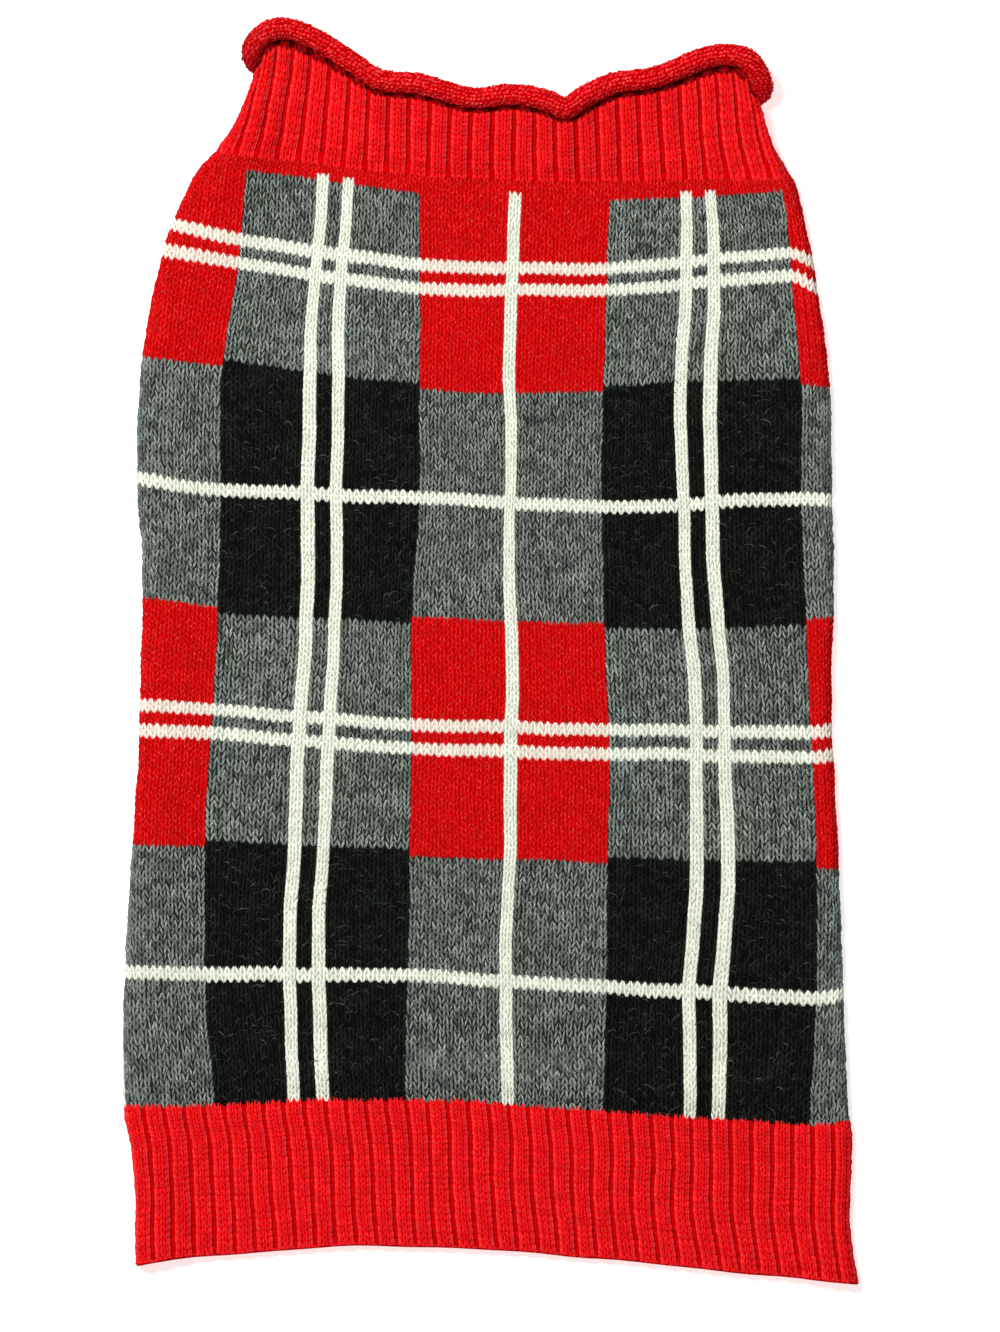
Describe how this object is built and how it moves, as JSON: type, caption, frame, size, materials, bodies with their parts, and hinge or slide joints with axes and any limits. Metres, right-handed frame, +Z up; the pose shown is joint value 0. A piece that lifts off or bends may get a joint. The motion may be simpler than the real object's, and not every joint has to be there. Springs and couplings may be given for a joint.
{
  "type": "knitted dog sweater laid flat",
  "caption": "Sleeveless knitted dog sweater lying flat: red, grey and black squares with white lines, ribbed hem and collar, rolled collar edge",
  "frame": {"origin": "under the middle of the garment's box, on the surface it lies on", "axes": "+Z up out of the surface, the back panel facing up; +Y from the hem to the collar; +X to the right of the garment as seen from above"},
  "size_m": [0.2792, 0.4784, 0.0206],
  "materials": {
    "plaid_knit": "acrylic stockinette in red, heather grey, black and cream white, matt with a light fuzz",
    "red_knit": "plain red acrylic stockinette, matt",
    "red_rib": "red acrylic two-and-two ribbing, matt, soft highlights on the ribs"
  },
  "bodies": {
    "root": {"back_panel": "plaid_knit", "belly_panel": "red_knit", "hem_band": "red_rib", "collar": "red_rib", "collar_roll": "red_rib"}
  },
  "joints": []
}
